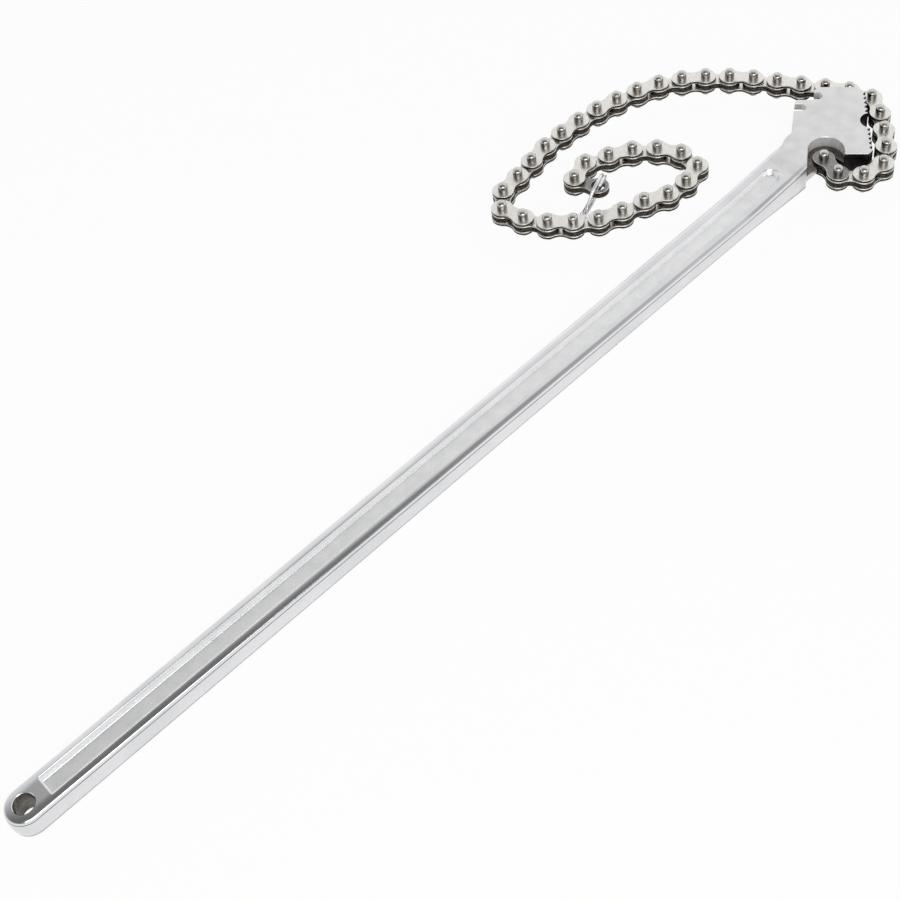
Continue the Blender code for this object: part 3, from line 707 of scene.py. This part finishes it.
def make_bar(looks):
    """The handle's bar: half sections from the middle line of the upper face to that of the lower one.

    They stand side by side down the near side, round the nose and back along the far side. The land
    falls off with the square of the way into its rolled edge, and the side leans in with the square
    of the height above the middle, less one shallow trim line.
    """
    along = bar_stations()
    turn = np.radians(np.linspace(-90, -270, NOSE_SIDES + 1)[1:-1])
    x = np.concatenate([along[::-1], np.full(len(turn), HOLE_X), along])
    out = np.concatenate([np.tile((0.0, -1.0), (len(along), 1)), np.stack([np.cos(turn), np.sin(turn)], 1),
                          np.tile((0.0, 1.0), (len(along), 1))])
    width = half_width(x)
    thick = half_thickness(x)

    # Distances in from the side: across the web, up the wall, over the land and round the edge
    edge = np.radians(np.linspace(0, 90, EDGE_SIDES + 1))[::-1][1:]
    rim = SIDE_DRAFT + EDGE_ROUND
    land_width = width - RECESS_HALF
    wall = [land_width + inset * MM for inset in WALL_INSETS_MM]
    web = [width * (1 - share) + wall[0] * share for share in np.linspace(0, 1, WEB_STEPS + 1)[:-1]]
    land = [wall[-1] * (1 - share) + rim * share for share in np.linspace(0, 1, LAND_STEPS + 1)[1:]]
    rounds = [np.full(len(x), SIDE_DRAFT + EDGE_ROUND * (1 - math.cos(t))) for t in edge]
    insets = np.stack([*web, *wall, *land, *rounds], 1)
    flat = len(web) + len(wall) + len(land)
    place = width[:, None] - insets
    face_x = x[:, None] + place * out[:, :1]
    face_y = place * out[:, 1:]

    # Heights above the middle, first of the upper face and then of the side
    share = np.clip((x - HOLE_X) / (NECK_X - HOLE_X), 0, 1)
    roll = NOSE_ROLL + (NECK_ROLL - NOSE_ROLL) * share**ROLL_POWER
    slope = NOSE_ROLL_SLOPE + (NECK_ROLL_SLOPE - NOSE_ROLL_SLOPE) * share
    over_edge = bend(1 + (rim - insets) / roll[:, None], ROLL_BEND)
    level = thick[:, None] - (slope * roll)[:, None] / 2 * over_edge**2
    level[:, :flat] -= recess_depth(face_x, face_y)[:, :flat]
    level[:, flat:] = level[:, flat - 1:flat] - EDGE_ROUND * (1 - np.sin(edge))
    trim = 1 - TRIM_LINE + TRIM_HALF * np.array([1, 0, -1])
    steps = np.array([SIDE_TOP, *trim, *SIDE_LEVELS])
    side_inset = SIDE_DRAFT * steps**2 + TRIM_DEPTH * (steps == trim[1])
    side = width[:, None] - side_inset
    side_x = x[:, None] + side * out[:, :1]
    side_y = side * out[:, 1:]
    side_z = level[:, -1:] * steps

    # The upper half, and the lower half as its mirror
    upper = np.stack([np.c_[face_x, side_x], np.c_[face_y, side_y], np.c_[level, side_z]], -1)
    rows = np.concatenate([upper, upper[:, -2::-1] * (1, 1, -1)], 1)
    all_insets = np.concatenate([insets, np.tile(side_inset, (len(x), 1))], 1)
    all_insets = np.concatenate([all_insets, all_insets[:, -2::-1]], 1)
    kinds = bar_kinds(rows, all_insets, land_width, face_x.shape[1] + 1)
    columns = rows.shape[1]
    faces = quads(len(rows), columns, False)
    cap = [*range(columns), *range((len(rows) - 1) * columns, len(rows) * columns)[::-1]]
    points = rows.reshape(-1, 3) + (0, 0, MID_HEIGHT)
    return solid("bar", points, [*faces.tolist(), cap], [*kinds.ravel(), ON_SHADE_WALL], looks)


def tooth_row(tip, along, inward, length):
    """Saw teeth in a row: the root of each lies inward, a little past the middle of the tooth's step."""
    step = length / TEETH_PER_ROW
    points = []
    for i in range(TEETH_PER_ROW):
        points += [tip + along * step * i, tip + along * step * (i + TOOTH_LEAN) + inward * TOOTH_DEPTH]
    return points


def jaw_line():
    """Saw teeth up to a round relief, and saw teeth that lean the other way above it."""
    foot, top = pitches(JAW_FOOT), pitches(JAW_TOP)
    length = np.linalg.norm(top - foot)
    along = (top - foot) / length
    inward = np.array([-along[1], along[0]])
    middle = (foot + top) / 2 - inward * RELIEF_OUTSET
    row = length / 2 - math.sqrt(RELIEF_RADIUS**2 - RELIEF_OUTSET**2)
    facing = math.degrees(math.atan2(inward[1], inward[0]))
    dip = math.degrees(math.asin(RELIEF_OUTSET / RELIEF_RADIUS))
    relief = arc(middle, RELIEF_RADIUS, facing + 90 - dip, facing - 90 + dip, RELIEF_SIDES)
    upper = tooth_row(top, -along, inward, row)
    return [*tooth_row(foot, along, inward, row), *relief, *upper[::-1]]


def rounded(points, radii):
    """A closed outline with some corners turned into arcs that touch both of the corner's edges."""
    made = []
    count = len(points)
    for i, radius in enumerate(radii):
        corner = points[i]
        back = points[i - 1] - corner
        on = points[(i + 1) % count] - corner
        if radius == 0:
            made.append(corner[None])
            continue
        back, on = back / np.linalg.norm(back), on / np.linalg.norm(on)
        half = math.acos(np.clip(back @ on, -1, 1)) / 2
        reach = radius / math.tan(half)
        bisector = (back + on) / np.linalg.norm(back + on)
        centre = corner + bisector * radius / math.sin(half)
        first, final = corner + back * reach - centre, corner + on * reach - centre
        start = math.atan2(first[1], first[0])
        sweep = math.atan2(first[0] * final[1] - first[1] * final[0], first @ final)
        angles = start + np.linspace(0, 1, CORNER_SIDES + 1) * sweep
        made.append(centre + radius * np.stack([np.cos(angles), np.sin(angles)], 1))
    return np.concatenate(made)


def head_line():
    """The head's outline from the neck's near side: chain lug, toe, jaw, front, hooks and rear."""
    lug = arc(pitches(ANCHOR_PIN), LUG_RADIUS * PITCH, *LUG_SPAN, LUG_SIDES)
    corners = [
        (np.array([HEAD_START_X, BURIED - NECK_HALF]), 0.0),
        *((point, 0.0) for point in lug),
        (pitches(LIP), 0.0),
        (pitches(TOE), TOE_ROUND),
        *((point, 0.0) for point in jaw_line()),
        *((pitches(point), radius) for point, radius in FRONT_CORNERS),
        (np.array([HEAD_START_X, NECK_HALF - BURIED]), 0.0),
    ]
    points, radii = zip(*corners)
    return rounded(np.array(points), radii)


def pocket_line():
    """A round pocket about the anchor pin that runs out along a straight side to the handle's edge."""
    centre = pitches(POCKET_CENTRE)
    lip = pitches(LIP) - centre
    first = math.degrees(math.atan2(lip[1], lip[0]))
    wall = arc(centre, POCKET_RADIUS * PITCH, first, POCKET_RUN_HEADING - 90.0, POCKET_SIDES)
    run_out = wall[-1] + direction(POCKET_RUN_HEADING) * POCKET_RUN
    below = np.array([0.0, -CLEAR_OF_HEAD])
    return np.array([*wall, run_out, run_out + below, centre + below])


def slot_line():
    """The chain slot's floor along the head and down its front, closed well clear of the head."""
    turn, front = pitches(SLOT_FLOOR_TURN), pitches(SLOT_FLOOR_FRONT)
    floor, reach = SLOT_FLOOR * PITCH, CLEAR_OF_HEAD
    corner = turn[0] - (floor - turn[1])
    inner = [(-reach, floor), (corner, floor), turn, front]
    return np.array([*inner, (reach, front[1]), (reach, reach), (-reach, reach)])


def seat_line(seat):
    """Half a circle about a hook seat, with straight sides that open out of the head."""
    out = -direction(SEAT_HEADING)
    end = arc(seat, SEAT_RADIUS, SEAT_HEADING - 90, SEAT_HEADING + 90, SEAT_SIDES)
    return np.array([*end, end[-1] + out * PITCH, end[0] + out * PITCH])


def pocket_cutter(side, looks):
    """A cutter from the web's face out past the head's face, flared there to chamfer the pocket's rim."""
    face = MID_HEIGHT + side * MID_HEIGHT
    rings = [(0.0, MID_HEIGHT + side * INNER_PACK / 2), (0.0, face - side * POCKET_CHAMFER),
             (POCKET_CHAMFER, face), (POCKET_CHAMFER, face + side * CUT_PAST)]
    # The web's face at the pocket's floor takes the dark grey painted shade.
    kinds = [ON_HOLLOW_SHADE, ON_POCKET, ON_FACE, ON_FACE, ON_FACE]
    return prism("pocket", pocket_line(), rings[::side], kinds[::side], looks)


def seat_cutters(looks):
    """A cutter for each hook seat, one chain pitch apart, flared at both faces of the head."""
    flare, far = HEAD_CHAMFER, HEAD_THICKNESS
    rings = [(flare, -CUT_PAST), (flare, 0), (0, flare),
             (0, far - flare), (flare, far), (flare, far + CUT_PAST)]
    kinds = [ON_FACE, ON_FACE, ON_FACE, ON_POCKET, ON_FACE, ON_FACE, ON_FACE]
    high = pitches(HIGH_SEAT)
    seats = (high, high + PITCH * direction(SEAT_ROW_HEADING))
    return [prism(f"seat_{number}", seat_line(seat), rings, kinds, looks)
            for number, seat in enumerate(seats)]


def hang_hole_cutter(looks):
    """A round cutter through the handle's nose, flared at both faces."""
    flare = HANG_HOLE_RADIUS + HANG_HOLE_CHAMFER
    shallow = GRIP_HALF_THICK - HANG_HOLE_CHAMFER
    far = GRIP_HALF_THICK + CUT_PAST
    upper = [(0, far), (flare, far), (flare, GRIP_HALF_THICK), (HANG_HOLE_RADIUS, shallow)]
    profile = upper + [(radius, -height) for radius, height in upper[::-1]]
    # The bore takes the dark grey painted shade.
    kinds = [ON_FORGING, ON_FORGING, ON_FORGING, ON_HOLLOW_SHADE, ON_FORGING, ON_FORGING, ON_FORGING]
    return turned("hang", profile, HANG_HOLE_SIDES, kinds, looks, (HOLE_X, 0, MID_HEIGHT))


def make_handle():
    """The forging in one closed body: bar and head, less recesses, pocket, slot, seats and holes."""
    looks = [FORGING, RECESS, FACE, SHADE_WALL, POCKET, HOLLOW_SHADE]
    bar = make_bar(looks)
    rings = [(-HEAD_CHAMFER, 0), (0, HEAD_CHAMFER),
             (0, HEAD_THICKNESS - HEAD_CHAMFER), (-HEAD_CHAMFER, HEAD_THICKNESS)]
    # The head's side band, the chain slot and the anchor pin's bore take the black painted shade.
    head = prism("head", head_line(), rings, [ON_FACE, ON_FACE, ON_SHADE_WALL, ON_FACE, ON_FACE], looks)
    pockets = [pocket_cutter(side, looks) for side in (1, -1)]
    slot = prism("slot", slot_line(), [(0, MID_HEIGHT - SLOT_HALF), (0, MID_HEIGHT + SLOT_HALF)],
                 [ON_SHADE_WALL] * 3, looks)
    seats = seat_cutters(looks)
    bore = hole_tool("bore", (*pitches(ANCHOR_PIN), MID_HEIGHT), BORE_RADIUS, looks, ON_SHADE_WALL)
    cutters = [*pockets, slot, *seats, bore, hang_hole_cutter(looks)]
    tools = [(head, "UNION"), *((cutter, "DIFFERENCE") for cutter in cutters)]
    dress("forged_handle", combine(bar, tools, "forged_handle"), "handle")


# Studio

def white_share(tree, surface, shares):
    """Mixes plain white into the surface for some kinds of ray, each by its own share."""
    rays = add(tree, "ShaderNodeLightPath")
    amount = 0.0
    for kind, share in shares.items():
        seen = add(tree, "ShaderNodeMath", {0: rays.outputs[kind], 1: share}, operation="MULTIPLY")
        most = add(tree, "ShaderNodeMath", {0: amount, 1: seen.outputs[0]}, operation="MAXIMUM")
        amount = most.outputs[0]
    white = add(tree, "ShaderNodeEmission", {"Color": WHITE, "Strength": 1.0}).outputs[0]
    return add(tree, "ShaderNodeMixShader", {0: amount, 1: surface, 2: white}).outputs[0]


def make_floor():
    """A white floor just below the tool, which takes its shadow and is nearly plain white to the eye."""
    material = bpy.data.materials.new("White studio floor")
    tree = empty_tree(material)
    paper = add(tree, "ShaderNodeBsdfDiffuse", {"Color": linear("#F0F0F0")}).outputs[0]
    add(tree, "ShaderNodeOutputMaterial", {"Surface": white_share(tree, paper, FLOOR_WHITE)})
    mesh = bpy.data.meshes.new("floor")
    corners = [(x * FLOOR_HALF, y * FLOOR_HALF, 0) for x, y in ((-1, -1), (1, -1), (1, 1), (-1, 1))]
    mesh.from_pydata(corners, [], [(0, 1, 2, 3)])
    mesh.materials.append(material)
    floor = new_object("floor", mesh)
    floor.location = (0, 0, -FLOOR_DROP)


def make_world():
    """White all round, but for a dark opening overhead that leans towards the camera.

    The brightness is a ramp on the cosine of the angle from the opening's middle.
    """
    world = bpy.data.worlds.new("Studio")
    bpy.context.scene.world = world
    tree = empty_tree(world)
    way = add(tree, "ShaderNodeTexCoord").outputs["Generated"]
    near = add(tree, "ShaderNodeVectorMath", {0: way, 1: OPENING}, operation="DOT_PRODUCT").outputs["Value"]
    ramp = add(tree, "ShaderNodeValToRGB", {0: near})
    while len(ramp.color_ramp.elements) < len(OPENING_RAMP):
        ramp.color_ramp.elements.new(0.5)
    for element, (position, value) in zip(ramp.color_ramp.elements, OPENING_RAMP):
        element.position = position
        element.color = (value, value, value, 1.0)
    light = add(tree, "ShaderNodeBackground", {"Color": ramp.outputs[0], "Strength": 1.0}).outputs[0]
    rays = add(tree, "ShaderNodeLightPath").outputs["Is Camera Ray"]
    plain = add(tree, "ShaderNodeBackground", {"Color": WHITE, "Strength": 1.0}).outputs[0]
    mixed = add(tree, "ShaderNodeMixShader", {0: rays, 1: light, 2: plain}).outputs[0]
    add(tree, "ShaderNodeOutputWorld", {"Surface": mixed})


def make_lamp():
    """One square soft light behind the camera and higher, aimed at the handle."""
    lamp = bpy.data.lights.new("key", "AREA")
    lamp.shape = "SQUARE"
    lamp.size = KEY_SIZE
    lamp.energy = KEY_WATTS
    thing = new_object("key", lamp)
    back = Matrix.Translation(KEY_PLACE).translation - Matrix.Translation(KEY_AIM).translation
    thing.location = KEY_PLACE
    thing.rotation_mode = "QUATERNION"
    thing.rotation_quaternion = back.to_track_quat("Z", "Y")


def make_camera():
    """The photograph's camera, worked out from the chain's even pitch."""
    camera = bpy.data.cameras.new("camera")
    camera.sensor_width = CAMERA_SENSOR
    camera.lens = CAMERA_LENS
    camera.shift_x, camera.shift_y = CAMERA_SHIFT
    camera.clip_start = CAMERA_NEAR
    thing = new_object("camera", camera)
    axes = Matrix((CAMERA_RIGHT, CAMERA_UP, [-c for c in CAMERA_FORWARD])).transposed().to_4x4()
    thing.matrix_world = Matrix.Translation(CAMERA_PLACE) @ axes
    bpy.context.scene.camera = thing


make_chain()
make_ring()
make_handle()
make_floor()
make_world()
make_lamp()
make_camera()
bpy.context.scene.view_settings.view_transform = "Standard"

bpy.context.view_layer.update()
